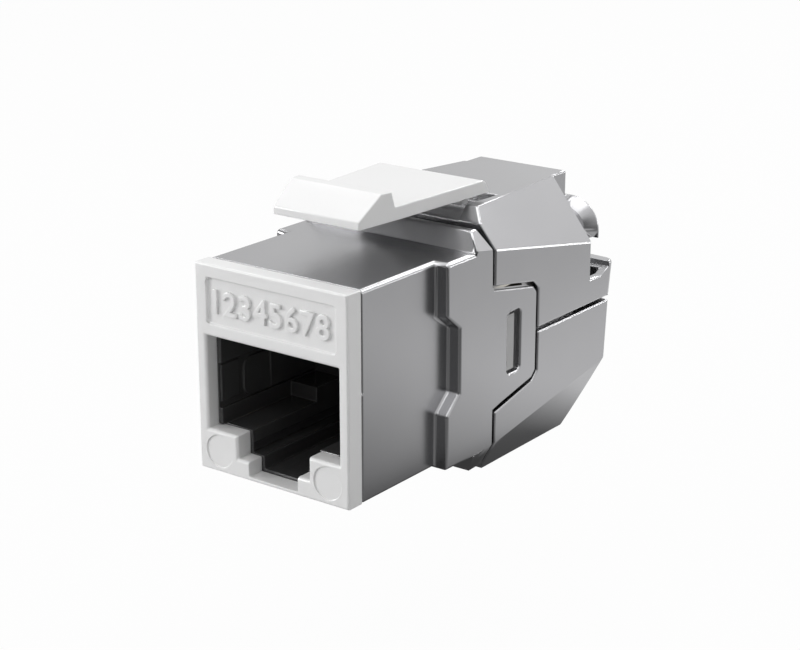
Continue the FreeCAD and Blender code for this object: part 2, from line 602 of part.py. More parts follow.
pocket(
    insert, "spring_chamber", "XZ_Plane", "contact_bend_front - 1.4",
    "insert_end - contact_bend_front + 1.4",
    [box("-chamber_half", "chamber_half", "cavity_top - 0.5", "chamber_top")],
)
pad(
    insert, "comb_bar", "XZ_Plane", "comb_front", "plug_depth + 0.5 - comb_front",
    [box("-chamber_half - 0.2", "chamber_half + 0.2", "cavity_top - comb_drop", "cavity_top")],
)
pocket(
    insert, "comb_slots", "XZ_Plane", "comb_front - 0.5", "plug_depth - comb_front + 1.2",
    [
        box("contact_pitch * %.1f - comb_slot / 2" % (i - 3.5),
            "contact_pitch * %.1f + comb_slot / 2" % (i - 3.5),
            "cavity_top - comb_drop - 0.2", "cavity_top + 0.2")
        for i in range(8)
    ],
)

# Contact springs: a fixed run from the board to the front, a bend, and a free run
# that slopes back down for the plug to press on.

BEND_ANGLES = (90, 128, 166, 204, 242)
FREE_RUN = (math.cos(math.radians(28)), -math.sin(math.radians(28)))


def bend(radius):
    return [
        ("contact_bend_front + (%s) * %.5f" % (radius, math.cos(math.radians(a))),
         "contact_up - contact_bend_radius + (%s) * %.5f" % (radius, math.sin(math.radians(a))))
        for a in BEND_ANGLES
    ]


outer_bend = bend("contact_bend_radius + contact_thick / 2")
inner_bend = bend("contact_bend_radius - contact_thick / 2")


def along_free_run(corner):
    u, v = corner
    return (
        "%s + contact_free_run * %.5f" % (u, FREE_RUN[0]),
        "%s + contact_free_run * (%.5f)" % (v, FREE_RUN[1]),
    )


spring_outline = (
    [("board_rear + contact_tail", "contact_up - contact_thick / 2"),
     ("board_rear + contact_tail", "contact_up + contact_thick / 2")]
    + outer_bend
    + [along_free_run(outer_bend[-1]), along_free_run(inner_bend[-1])]
    + inner_bend[::-1]
)
for i in range(8):
    contact = new_body("contact_%d" % (i + 1))
    both_sides(
        pad(contact, "contact_%d_strip" % (i + 1), "YZ_Plane",
            "contact_pitch * (%.1f)" % (i - 3.5), "contact_width", [spring_outline]),
        "contact_width",
    )

# Circuit board

blade_place = [("wire_pitch * (%.1f)" % (i - 3.5)) for i in range(8)]

board = new_body("circuit_board")
pad(
    board, "board_plate", "XZ_Plane", "board_front", "board_thick",
    [box("-board_half", "board_half", "board_foot", "board_top")],
)
pocket(
    board, "tail_holes", "XZ_Plane", "board_front", "board_thick",
    circles=[("contact_pitch * (%.1f)" % (i - 3.5), "contact_up", "board_hole_radius") for i in range(8)],
)
pocket(
    board, "leg_slots", "XZ_Plane", "board_front", "board_thick",
    [box(x + " - blade_width / 4 - 0.02", x + " + blade_width / 4 + 0.02",
         "shelf_up - 0.02", "blade_leg_top + 0.02") for x in blade_place],
)

# Front housing

housing = new_body("front_housing")
pad(
    housing, "housing_neck", "XZ_Plane", "neck_front", "rise_start - neck_front",
    [box("-neck_half", "neck_half", "neck_foot", "neck_top")],
)
seam_tab = box("neck_half - neck_wall", "neck_half", "seam_tab_foot", "seam_tab_foot + seam_tab_height")
pad(
    housing, "seam_tabs", "XZ_Plane", "bezel_depth", "neck_front - bezel_depth + 0.2",
    [seam_tab, mirrored(seam_tab)],
)
both_sides(
    pad(housing, "housing_side", "YZ_Plane", "0", "body_half", [[
        ("flange_front", "flange_top"), ("flange_front", "step_high_out"),
        ("flange_front + flange_step", "step_high_in"), ("flange_front + flange_step", "step_low_in"),
        ("flange_front", "step_low_out"), ("flange_front", "flange_foot"),
        ("rise_start", "flange_foot"), ("rise_end", "rise_foot"), ("seam_rear", "rise_foot"),
        ("seam_rear", "tongue_root_foot"),
        ("seam_rear + 2 * tongue_chamfer", "tongue_root_foot + tongue_chamfer / 2"),
        ("tongue_end - tongue_chamfer", "tongue_end_foot"), ("tongue_end", "tongue_end_foot + tongue_chamfer"),
        ("tongue_end", "tongue_end_top - tongue_chamfer"), ("tongue_end - tongue_chamfer", "tongue_end_top"),
        ("seam_rear", "tongue_root_top"), ("seam_rear - 0.2", "tongue_root_top + 0.3"),
        ("seam_rear - 0.25", "rise_top - 1.75"), ("seam_top", "rise_top"),
        ("rise_end", "rise_top"), ("rise_start", "flange_top"),
    ]]),
    "2 * body_half",
)
upper_facet = [
    ("body_half + 1", "facet_crease - facet_slope"),
    ("body_half + 1", "facet_crease + 5 * facet_slope"),
    ("body_half - 5", "facet_crease + 5 * facet_slope"),
]
slanted(
    pocket(housing, "housing_upper_facets", "XZ_Plane", "0", "tongue_end + 1",
           [upper_facet, mirrored(upper_facet)]),
    "facet_fall",
)
housing_low_facet = [
    ("body_half + 1", "low_crease_front + 1.8"),
    ("body_half + 1", "low_crease_front - 1.8 * 3"),
    ("body_half - 3", "low_crease_front - 1.8 * 3"),
]
low_cut = pocket(
    housing, "housing_lower_facets", "XZ_Plane", "flange_front",
    "seam_rear - flange_front + 0.1",
    [[(u, v + " - 0.09 * (seam_rear - flange_front)") for u, v in housing_low_facet],
     [(u, v + " - 0.09 * (seam_rear - flange_front)") for u, v in mirrored(housing_low_facet)]],
)
low_cut.UseCustomVector = True
low_cut.Direction = FreeCAD.Vector(0, 1, 0.09)
pocket(
    housing, "neck_hollow", "XZ_Plane", "neck_front", "rear_hollow_front + 0.1 - neck_front",
    [box("-neck_half + neck_wall", "neck_half - neck_wall", "neck_foot + neck_wall", "neck_top - neck_wall")],
)
pocket(
    housing, "rear_hollow", "XZ_Plane", "rear_hollow_front", "tongue_end - rear_hollow_front + 1",
    [[
        ("-inner_half", "low_crease_front + wall / 2"), ("-inner_half + 1.1", "rise_foot + wall"),
        ("inner_half - 1.1", "rise_foot + wall"), ("inner_half", "low_crease_front + wall / 2"),
        ("inner_half", "rise_top - wall - 1.2"), ("inner_half - 0.9", "rise_top - wall"),
        ("-inner_half + 0.9", "rise_top - wall"), ("-inner_half", "rise_top - wall - 1.2"),
    ]],
)
pocket(
    housing, "keel_slot", "XZ_Plane", "neck_front", "plug_depth + lip_wall + fit_gap - neck_front",
    [box("-keel_half - fit_gap", "keel_half + fit_gap", "neck_foot - 0.3", "neck_foot + neck_wall + 0.1")],
)
slot_cut = both_sides(
    pocket(housing, "catch_slots", "YZ_Plane", "0", "body_half", [[
        ("slot_front", "slot_foot"), ("slot_front + slot_length", "slot_foot"),
        ("slot_front + slot_length", "slot_top"), ("slot_front", "slot_top - 0.1"),
    ]]),
    "2 * body_half + 1",
)
fillet(
    housing, "catch_slot_corners", slot_cut,
    lambda p: abs(p.x) > val("inner_half") - 0.01 and val("slot_foot") - 0.01 < p.z < val("slot_top") + 0.01
    and min(abs(p.y - val("slot_front")), abs(p.y - val("slot_front + slot_length"))) < 1e-4,
    "slot_corner", along=0,
)
lug_faces = [("-lug_out", "lug_width"), ("lug_in", "lug_width")]
for number, (start, width) in enumerate(lug_faces, start=1):
    pad(
        housing, "lug_arm_%d" % number, "YZ_Plane", start, width,
        [box("seam_rear - wall", "hinge_back", "hinge_up - wall / 2", "hinge_up + lug_radius")],
    )
    pad(
        housing, "lug_eye_%d" % number, "YZ_Plane", start, width,
        circles=[("hinge_back", "hinge_up", "lug_radius")],
    )
both_sides(
    pocket(housing, "lug_bores", "YZ_Plane", "0", "lug_out",
           circles=[("hinge_back", "hinge_up", "pin_radius + pin_fit")]),
    "2 * lug_out + 0.4",
)

# Upper shell

shell = new_body("upper_shell")
both_sides(
    pad(shell, "shell_side", "YZ_Plane", "0", "body_half", [[
        ("shell_front", "tongue_root_top + seam"),
        ("tongue_end - tongue_chamfer + 0.1", "tongue_end_top + seam"),
        ("tongue_end + seam", "tongue_end_top - tongue_chamfer + 0.2"),
        ("tongue_end + seam", "shell_foot"),
        ("tail_end", "shell_foot"), ("tail_end + tail_lean", "tail_rear_top"),
        ("tail_end - tail_ramp", "tail_wall_top"), ("shell_end", "tail_wall_top"),
        ("shell_end", "roof_rear"), ("shell_front + shell_lean", "roof_front"),
        ("shell_front - 0.1", "shell_front_top"), ("shell_front", "shell_front_top - 1.9"),
    ]]),
    "2 * body_half",
)
slanted(
    pocket(shell, "shell_upper_facets", "XZ_Plane", "0", "tail_end",
           [upper_facet, mirrored(upper_facet)]),
    "facet_fall",
)
pad(
    shell, "roof_tail", "XZ_Plane", "shell_end - 1", "roof_tail_end - shell_end + 1",
    [box("-roof_tail_half", "roof_tail_half", "roof_tail_foot", "roof_rear")],
)
pad(
    shell, "saddle_neck", "XZ_Plane", "shell_end - 0.5", "saddle_lip_front - shell_end + 0.6",
    arches=[("saddle_neck_half", "saddle_foot", "saddle_neck_top", "saddle_neck_round")],
)
pad(
    shell, "saddle_lip", "XZ_Plane", "saddle_lip_front", "saddle_lip_end - saddle_lip_front",
    arches=[("saddle_lip_half", "saddle_foot", "saddle_lip_top", "saddle_lip_round")],
)
both_sides(
    pad(shell, "tail_rear_wall", "YZ_Plane", "0", "body_half", [[
        ("tail_end - tail_rear_thick", "shell_foot"), ("tail_end", "shell_foot"),
        ("tail_end + tail_lean", "tail_rear_top"),
        ("tail_end + tail_lean - tail_rear_thick", "tail_rear_top"),
    ]]),
    "2 * body_half",
)
fillet(
    shell, "tail_corners", shell.Tip,
    lambda p: near(abs(p.x), "body_half") and p.y > val("tail_end") - 0.001, "tail_round", along=2,
)
pocket(
    shell, "shell_hollow", "XZ_Plane", "shell_front - 0.5", "shell_end - shell_front + 0.5 - wall",
    [[
        ("-inner_half", "shell_foot - 1"), ("inner_half", "shell_foot - 1"),
        ("inner_half", "eaves"), ("ceiling_half", "ceiling"),
        ("-ceiling_half", "ceiling"), ("-inner_half", "eaves"),
    ]],
)
pocket(
    shell, "tail_hollow", "XZ_Plane", "shell_end", "tail_end - tail_rear_thick - shell_end",
    [box("-inner_half", "inner_half", "shell_foot - 1", "saddle_foot")],
)
pocket(
    shell, "cable_way", "XZ_Plane", "shell_end - 2 * wall", "tail_end - shell_end + 3 * wall",
    circles=[("0", "cable_up", "cable_radius")],
)
pocket(
    shell, "latch_recess", "XZ_Plane", "shell_front - 0.5", "recess_end - shell_front + 0.5",
    [box("-recess_half", "recess_half", "recess_floor", "roof_front + 1")],
)

# Lower wing

wing = new_body("lower_wing")
both_sides(
    pad(wing, "wing_side", "YZ_Plane", "0", "body_half", [[
        ("wing_front", "tongue_root_foot - seam + 0.05"),
        ("tongue_end - tongue_chamfer + 0.15", "tongue_end_foot - seam"),
        ("tongue_end + seam", "tongue_end_foot + tongue_chamfer - 0.15"),
        ("tongue_end + seam", "wing_top"), ("wing_end", "wing_top"),
        ("wing_slope_end", "low_crease_rear"), ("wing_slope_start", "wing_foot"),
        ("wing_front", "wing_foot"),
    ]]),
    "2 * body_half",
)


def low_facet(side, crease):
    """Section of the lower facet's cutter where the crease has the given height."""
    inner = "low_facet_in * 1.3"
    return [
        ("%s(body_half + 0.15 * low_facet_in)" % side, "%s + 0.15 * (%s - wing_foot)" % (crease, crease)),
        ("%s(body_half + 1.2)" % side, "%s + 0.15 * (%s - wing_foot)" % (crease, crease)),
        ("%s(body_half + 1.2)" % side, "%s - 1.3 * (%s - wing_foot)" % (crease, crease)),
        ("%s(body_half - %s)" % (side, inner), "%s - 1.3 * (%s - wing_foot)" % (crease, crease)),
    ]


for number, side in enumerate(("", "-"), start=1):
    cutter = wing.newObject("PartDesign::SubtractiveLoft", "wing_lower_facet_%d" % number)
    cutter.Profile = new_sketch(
        wing, "wing_facet_front_%d" % number, "XZ_Plane", "wing_front",
        [low_facet(side, "low_crease_front")],
    )
    cutter.Sections = [new_sketch(
        wing, "wing_facet_rear_%d" % number, "XZ_Plane", "wing_end",
        [low_facet(side, "low_crease_rear")],
    )]
    cutter.Ruled = True
    wing.Tip = cutter
wing_front_edge = fillet(
    wing, "wing_front_round", wing.Tip,
    lambda p: near(p.y, "wing_front") and near(p.z, "wing_foot"), "wing_front_round",
)
both_sides(
    pocket(wing, "wing_low_hollow", "YZ_Plane", "0", "wing_channel_half", [[
        ("wing_front - 0.5", "wing_foot + wall"), ("wing_slope_start - wall / 2", "wing_foot + wall"),
        ("wing_slope_end - wall", "low_crease_rear + wall / 2"), ("wing_end - wall", "wing_top + 1"),
        ("wing_front - 0.5", "wing_top + 1"),
    ]]),
    "2 * wing_channel_half",
)
both_sides(
    pocket(wing, "wing_high_hollow", "YZ_Plane", "0", "inner_half", [[
        ("wing_front - 0.5", "wing_ledge"), ("wing_slope_end - 2 * wall", "wing_ledge"),
        ("wing_slope_end - wall", "low_crease_rear + wall / 2"), ("wing_end - wall", "wing_top + 1"),
        ("wing_front - 0.5", "wing_top + 1"),
    ]]),
    "2 * inner_half",
)
seam_lip = [
    ("inner_half + 0.1", "holder_top + 0.2"), ("inner_half + 0.1", "wing_top - 0.2"),
    ("inner_half - seam_lip_gap", "wing_top - 0.1"),
    ("inner_half - seam_lip_gap", "wing_top + seam_lip_rise"),
    ("inner_half - seam_lip_gap - seam_lip_thick", "wing_top + seam_lip_rise"),
    ("inner_half - seam_lip_gap - seam_lip_thick", "holder_top + 0.2"),
]
pad(
    wing, "seam_lips", "XZ_Plane", "tongue_end + 2 * seam", "shell_end - wall - tongue_end - 3 * seam",
    [seam_lip, mirrored(seam_lip)],
)
knuckle_faces = [("-knuckle_in - knuckle_width", "knuckle_width"), ("knuckle_in", "knuckle_width")]
for number, (start, width) in enumerate(knuckle_faces, start=1):
    pad(
        wing, "knuckle_%d" % number, "YZ_Plane", start, width,
        circles=[("hinge_back", "hinge_up", "lug_radius")],
    )
notch = box("lug_in - lug_gap", "lug_out + lug_gap", "wing_front - 0.5", "hinge_back + notch_end")
pocket(
    wing, "lug_notches", "XY_Plane", "wing_foot - 0.5", "lug_radius * 2 + 1.5",
    [notch, mirrored(notch)],
)
both_sides(
    pocket(wing, "wing_pin_way", "YZ_Plane", "0", "pin_half",
           circles=[("hinge_back", "hinge_up", "pin_radius + pin_fit")]),
    "2 * (pin_half + pin_fit)",
)

# Hinge pin

pin = doc.addObject("Part::Cylinder", "hinge_pin")
pin.Label = "hinge_pin"
pin.setExpression("Radius", ex("pin_radius"))
pin.setExpression("Height", ex("2 * pin_half"))
pin.Placement = FreeCAD.Placement(
    FreeCAD.Vector(0, 0, 0), FreeCAD.Rotation(FreeCAD.Vector(0, 1, 0), 90)
)
pin.setExpression(".Placement.Base.x", ex("-pin_half"))
pin.setExpression(".Placement.Base.y", ex("hinge_back"))
pin.setExpression(".Placement.Base.z", ex("hinge_up"))

# Wire holder, a comb whose channels take one wire each

holder = new_body("wire_holder")
pad(
    holder, "holder_block", "XZ_Plane", "holder_front", "holder_length",
    [box("-holder_half", "holder_half", "wing_ledge", "holder_top")],
)
pocket(
    holder, "wire_channels", "XZ_Plane", "holder_front", "holder_length",
    [box(x + " - wire_channel / 2", x + " + wire_channel / 2", "holder_channel_floor", "holder_top + 1")
     for x in blade_place],
)

# Carrier frame, which holds the blades and catches in the housing's tongues

carrier = new_body("carrier_frame")
pad(
    carrier, "carrier_plate", "XZ_Plane", "carrier_front", "carrier_thick",
    [box("-carrier_half", "carrier_half", "carrier_foot", "carrier_top")],
)
pad(
    carrier, "carrier_shelf", "XZ_Plane", "carrier_front", "shelf_end - carrier_front",
    [box("-shelf_half", "shelf_half", "shelf_up - shelf_thick", "shelf_up")],
)
arm = box("carrier_half - arm_thick", "inner_half - fit_gap", "slot_foot - wall", "slot_top + wall / 2")
pad(
    carrier, "carrier_arms", "XZ_Plane", "carrier_front", "arm_end - carrier_front",
    [arm, mirrored(arm)],
)
catch = box(
    "carrier_half - arm_thick / 2", "body_half - catch_shy",
    "slot_foot + catch_gap", "slot_top - catch_gap - 0.1",
)
pad(
    carrier, "carrier_catches", "XZ_Plane", "slot_front + catch_gap / 2", "catch_length",
    [catch, mirrored(catch)],
)
pocket(
    carrier, "leg_window", "XZ_Plane", "carrier_front - 0.5", "carrier_thick + 0.6",
    [box("-board_half", "board_half", "shelf_up", "blade_leg_top + 0.1")],
)
blade_rows = [
    "blade_row_front + blade_row_step * %d" % (i % 2) for i in range(8)
]
pocket(
    carrier, "blade_slots", "XY_Plane", "shelf_up - shelf_thick - 0.5", "shelf_thick + 1",
    [box(x + " - blade_width / 2 - 0.05", x + " + blade_width / 2 + 0.05",
         y + " - blade_thick / 2 - 0.05", y + " + blade_thick / 2 + 0.05")
     for x, y in zip(blade_place, blade_rows)],
)

# Blades: a leg from the board over the shelf, and a slit fork that cuts into the wire

for i, (x, y) in enumerate(zip(blade_place, blade_rows)):
    name = "idc_blade_%d" % (i + 1)
    blade = new_body(name)
    pad(
        blade, name + "_fork", "XZ_Plane", y + " - blade_thick / 2", "blade_thick",
        [box(x + " - blade_width / 2", x + " + blade_width / 2", "blade_tip", "blade_leg_top")],
    )
    pad(
        blade, name + "_leg", "XZ_Plane", "board_front", y + " - board_front",
        [box(x + " - blade_width / 4", x + " + blade_width / 4", "shelf_up", "blade_leg_top")],
    )
    pocket(
        blade, name + "_slit", "XZ_Plane", y + " - blade_thick", "2 * blade_thick",
        [[
            (x + " - blade_width / 2 + 0.1", "blade_tip - 0.1"),
            (x + " + blade_width / 2 - 0.1", "blade_tip - 0.1"),
            (x + " + blade_slit / 2", "blade_tip + 0.4"),
            (x + " + blade_slit / 2", "blade_tip + blade_slit_length"),
            (x + " - blade_slit / 2", "blade_tip + blade_slit_length"),
            (x + " - blade_slit / 2", "blade_tip + 0.4"),
        ]],
    )

# Latch lever

latch = new_body("latch_lever")
both_sides(
    pad(latch, "latch_profile", "YZ_Plane", "0", "latch_root_half", [[
        ("latch_front", "latch_foot"), ("latch_front", "latch_nose"),
        ("latch_ridge_front", "latch_ridge_top"), ("latch_ridge_rear", "latch_ridge_top"),
        ("latch_ridge_foot", "latch_plate_top"), ("latch_end - latch_end_round", "latch_plate_top"),
        ("latch_end - latch_end_round / 2", "latch_plate_top - 0.2"),
        ("latch_end", "latch_foot + 0.1"), ("latch_end", "latch_foot"),
    ]]),
    "2 * latch_root_half",
)
latch_taper = [
    ("latch_nose_half", "latch_front - 1"), ("latch_nose_half", "latch_front"),
    ("latch_plate_half", "latch_ridge_foot"), ("latch_root_half", "latch_end"),
    ("latch_root_half + 1", "latch_end"), ("latch_root_half + 1", "latch_front - 1"),
]
pocket(
    latch, "latch_taper", "XY_Plane", "latch_foot - 0.5", "latch_ridge_high + 1",
    [latch_taper, mirrored(latch_taper)],
)
pad(
    latch, "latch_stem", "XY_Plane", "recess_floor + latch_stem_gap",
    "latch_foot - recess_floor - latch_stem_gap + 0.4",
    [box("-latch_stem_half", "latch_stem_half", "latch_stem_front", "latch_end")],
)

doc.recompute()

# Every object must have worked before anything is written.

pieces = [obj for obj in doc.Objects if obj.TypeId == "PartDesign::Body" or obj.Name == "hinge_pin"]
failed = [obj.Name for obj in doc.Objects if "Invalid" in obj.State or "Error" in obj.State]
if failed:
    raise RuntimeError("failed: %s" % ", ".join(failed))
for piece in pieces:
    shape = piece.Shape
    if shape.isNull() or not shape.isValid() or len(shape.Solids) != 1:
        raise RuntimeError("%s isn't one sound solid" % piece.Label)

for piece in pieces:
    piece.Shape.exportStep("parts/%s.step" % piece.Label)
print(len(pieces), "pieces")
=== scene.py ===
# %% [markdown]
# # A shielded keystone jack, dressed for its portrait
#
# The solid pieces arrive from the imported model, in metres: X to the right seen from
# the front, Y towards the cable, Z up. This lesson gives them what a solid model
# leaves plain: the thin bright radii of the castings, the grain and sheen of each
# material, the raised numbers on the bezel, and a soft white studio.

# %% Load the frame
import math
import bmesh
import bpy
from mathutils import Matrix, Vector


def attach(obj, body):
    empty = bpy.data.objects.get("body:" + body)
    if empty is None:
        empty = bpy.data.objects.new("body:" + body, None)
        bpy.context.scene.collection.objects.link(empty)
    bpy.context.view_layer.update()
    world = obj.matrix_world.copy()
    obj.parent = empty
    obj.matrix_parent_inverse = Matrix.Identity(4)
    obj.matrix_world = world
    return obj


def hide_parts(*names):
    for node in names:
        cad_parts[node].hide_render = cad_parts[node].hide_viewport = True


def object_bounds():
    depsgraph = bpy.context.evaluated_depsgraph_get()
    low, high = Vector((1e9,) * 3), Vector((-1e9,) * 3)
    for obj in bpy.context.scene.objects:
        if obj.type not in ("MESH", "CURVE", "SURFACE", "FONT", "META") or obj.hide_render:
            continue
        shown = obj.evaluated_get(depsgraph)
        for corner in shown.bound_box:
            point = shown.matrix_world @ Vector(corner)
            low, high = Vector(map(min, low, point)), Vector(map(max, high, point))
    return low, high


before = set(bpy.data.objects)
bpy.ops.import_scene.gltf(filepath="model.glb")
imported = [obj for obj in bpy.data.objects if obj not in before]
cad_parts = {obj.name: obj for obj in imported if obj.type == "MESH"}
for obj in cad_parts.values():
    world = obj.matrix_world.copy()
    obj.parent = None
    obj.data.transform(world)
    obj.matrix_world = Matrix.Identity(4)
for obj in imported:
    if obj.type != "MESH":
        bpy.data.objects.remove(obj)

MM = 0.001
cad_bounds = [list(corner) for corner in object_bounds()]

# %% [markdown]
# ## The camera
#
# The photograph was taken from the right, a little above, with a fairly long lens,
# so upright edges hardly converge. The place and lens below came from fitting the
# straight edges of the bezel and the body. Everything else is judged through this
# camera, so it comes first. The same aiming serves the lamps later.


# %% Helpers that place and aim
def add_object(name, data):
    item = bpy.data.objects.new(name, data)
    bpy.context.scene.collection.objects.link(item)
    return item


def aimed(start, target):
    """The place and turn of a camera or lamp that looks from the start to the target."""
    turn = (target - start).to_track_quat("-Z", "Y").to_matrix().to_4x4()
    return Matrix.Translation(start) @ turn


# %% Place the camera
camera_data = bpy.data.cameras.new("portrait_camera")
camera_data.sensor_width = 36.0
camera_data.lens = 86.74
camera_data.clip_start = 0.01
camera_data.clip_end = 5.0
camera_place = Vector((88.15, -102.09, 57.28)) * MM
camera_target = Vector((0.79, 15.0, 9.18)) * MM
camera = add_object("portrait_camera", camera_data)
camera.matrix_world = aimed(camera_place, camera_target)
bpy.context.scene.camera = camera
print("camera to target:", round((camera_target - camera_place).length / MM, 1), "mm")

# %% [markdown]
# ## Helpers for node trees
#
# Every finish, the world and the floor are small node trees. One helper fills a
# node's inputs and one adds a node, so each tree reads as a list of what feeds what.


# %% Node helpers
def fill(tree, node, inputs):
    """Fill inputs by name or number: a socket is linked, a plain value is set."""
    for key, value in inputs.items():
        if isinstance(value, bpy.types.NodeSocket):
            tree.links.new(value, node.inputs[key])
        else:
            node.inputs[key].default_value = value


def add_node(tree, kind, inputs=(), **settings):
    node = tree.nodes.new("ShaderNode" + kind)
    for name, value in settings.items():
        setattr(node, name, value)
    fill(tree, node, dict(inputs))
    return node


# %% [markdown]
# ## Helpers for materials
#
# Each finish works in Object coordinates. Because every piece keeps its origin at the
# jack's own origin, one scale in metres fits them all. One helper opens a finish, one
# makes a noise pattern, one turns a pattern into tones and one turns it into bump.


# %% Material helpers
def new_finish(name):
    material = bpy.data.materials.new(name)
    material.use_nodes = True
    tree = material.node_tree
    place = add_node(tree, "TexCoord").outputs["Object"]
    return material, tree, tree.nodes["Principled BSDF"], place


def add_noise(tree, place, scale, detail, stretch=(1, 1, 1)):
    mapping = add_node(tree, "Mapping", {"Vector": place, "Scale": stretch})
    noise = add_node(tree, "TexNoise", {
        "Vector": mapping.outputs["Vector"], "Scale": scale, "Detail": detail, "Roughness": 0.55,
    })
    return noise.outputs["Fac"]


def add_ramp(tree, source, stops):
    ramp = add_node(tree, "ValToRGB", {"Fac": source})
    elements = ramp.color_ramp.elements
    while len(elements) < len(stops):
        elements.new(0.5)
    for element, (position, color) in zip(elements, stops):
        element.position = position
        element.color = (*color, 1.0)
    return ramp.outputs["Color"]


def add_bump(tree, shader, height, distance, strength, before=None):
    bump = add_node(tree, "Bump", {"Height": height, "Distance": distance, "Strength": strength})
    if before:
        fill(tree, bump, {"Normal": before})
    fill(tree, shader, {"Normal": bump.outputs["Normal"]})


def grey(value):
    return (value, value, value)


# %% [markdown]
# ## Satin nickel on a zinc casting
#
# The shield is cast in zinc and plated, then left satin. Up close it has a very fine
# orange-peel skin and slightly uneven tone, and no brush lines. Two noises do this:
# a coarse one shifts tone and roughness, a fine one raises the skin a little.

# %% Casting finish
casting, tree, shader, place = new_finish("satin_nickel")
uneven = add_noise(tree, place, 140.0, detail=4.0)
fill(tree, shader, {
    "Metallic": 1.0,
    "Base Color": add_ramp(tree, uneven, [(0.0, (0.42, 0.42, 0.43)), (1.0, (0.46, 0.46, 0.47))]),
    "Roughness": add_ramp(tree, uneven, [(0.0, grey(0.23)), (1.0, grey(0.28))]),
})
skin = add_noise(tree, place, 1500.0, detail=2.0)
add_bump(tree, shader, skin, 0.005 * MM, 0.06)
print("made", casting.name)

# %% [markdown]
# ## Moulded plastics
#
# Three plastics show: the pale bezel, the whiter latch and the glossy black insert.
# Moulded plastic takes the spark-eroded grain of its tool, so the pale ones get a
# fine grain and the black one stays nearly polished, with a hint of flow marks. A
# thin coat gives them the sheen of the moulding's skin. The grey one is for the
# frame and the wire holder inside.


# %% Plastic finishes
def plastic(name, low, high, roughness, grain, grain_depth, edge):
    material, tree, shader, place = new_finish(name)
    flow = add_noise(tree, place, 90.0, detail=3.0)
    worn = [(0.0, grey(roughness - 0.04)), (1.0, grey(roughness + 0.04))]
    fill(tree, shader, {
        "IOR": 1.5,
        "Coat Weight": 0.6,
        "Coat Roughness": 0.14,
        "Base Color": add_ramp(tree, flow, [(0.0, low), (1.0, high)]),
        "Roughness": add_ramp(tree, flow, worn),
    })
    fine = add_noise(tree, place, grain, detail=2.0)
    soft_edge = add_node(tree, "Bevel", {"Radius": edge}, samples=8)
    add_bump(tree, shader, fine, grain_depth, 0.3, before=soft_edge.outputs["Normal"])
    print("made", material.name)
    return material


bezel_plastic = plastic(
    "pale_bezel_plastic", grey(0.81), grey(0.84), 0.32, 2200.0, 0.006 * MM, 0.05 * MM)
latch_plastic = plastic(
    "white_latch_plastic", grey(0.83), grey(0.86), 0.30, 2200.0, 0.006 * MM, 0.06 * MM)
insert_plastic = plastic(
    "black_port_plastic", (0.045, 0.045, 0.046), (0.055, 0.055, 0.056),
    0.22, 1200.0, 0.004 * MM, 0.06 * MM)
frame_plastic = plastic(
    "grey_frame_plastic", grey(0.40), grey(0.44), 0.42, 2000.0, 0.010 * MM, 0.05 * MM)

# %% [markdown]
# ## Contact metals and the board
#
# The springs are gold plated, the blades are tinned bronze and the pin is ground
# steel. Their streaks run along the strip or the pin, as rolling and grinding leave
# them. The board is glass laminate under a green mask. They hide deep inside, but
# show when the wing swings down or one looks into the port.


# %% Contact metals
def plated(name, low, high, roughness, stretch):
    material, tree, shader, place = new_finish(name)
    streak = add_noise(tree, place, 500.0, detail=3.0, stretch=stretch)
    worn = [(0.3, grey(roughness - 0.05)), (0.7, grey(roughness + 0.07))]
    fill(tree, shader, {
        "Metallic": 1.0,
        "Base Color": add_ramp(tree, streak, [(0.3, low), (0.7, high)]),
        "Roughness": add_ramp(tree, streak, worn),
    })
    add_bump(tree, shader, streak, 0.006 * MM, 0.3)
    print("made", material.name)
    return material


gold = plated("gold_plate", (0.78, 0.50, 0.17), (0.90, 0.62, 0.24), 0.22, (6, 0.5, 6))
tinned = plated("tinned_bronze", (0.52, 0.49, 0.43), (0.66, 0.63, 0.56), 0.30, (4, 4, 0.6))
ground_steel = plated("ground_steel", (0.50, 0.50, 0.51), (0.62, 0.62, 0.63), 0.25, (0.4, 6, 6))

# %% Board
board_mask, tree, shader, place = new_finish("board_green_mask")
weave = add_node(tree, "TexChecker", {
    "Vector": place,
    "Scale": 2500.0,
    "Color1": (0.010, 0.085, 0.030, 1.0),
    "Color2": (0.014, 0.105, 0.038, 1.0),
})
fill(tree, shader, {"Coat Weight": 0.5, "Roughness": 0.35, "Base Color": weave.outputs["Color"]})
add_bump(tree, shader, weave.outputs["Fac"], 0.008 * MM, 0.25)
print("made", board_mask.name)

# %% [markdown]
# ## Rounding the edges
#
# A real casting or moulding has no knife edge: every edge carries a small radius,
# and that radius draws the thin bright line that makes the part look solid. A solid
# from the frame is a soup of loose triangles, so a copy is merged and its flat
# faces joined first. One width for all edges would fold over itself beside a thin
# wall, so each sharp edge is first asked how much room it has, and that room becomes
# its bevel weight. The Bevel modifier then rounds each edge by its own weight, and a
# weighted normal keeps the broad faces flat.


# %% How much room an edge has
touching = 0.001 * MM
nearly_straight = math.radians(140)
share_of_gap = 0.45
share_of_neighbour = 0.5


def nearest_beside(edge, loop, other):
    """How far another edge of the face lies from this one; None where they don't overlap."""
    ahead = (loop.link_loop_next.vert.co - loop.vert.co).normalized()
    inward = loop.face.normal.cross(ahead)
    ends = sorted(
        ((v.co - loop.vert.co).dot(ahead), (v.co - loop.vert.co).dot(inward)) for v in other.verts)
    (first, low), (last, high) = ends
    start, stop = max(first, 0.0), min(last, edge.calc_length())
    if stop <= start:
        return None
    slope = (high - low) / (last - first)
    return min(low + slope * (start - first), low + slope * (stop - first))


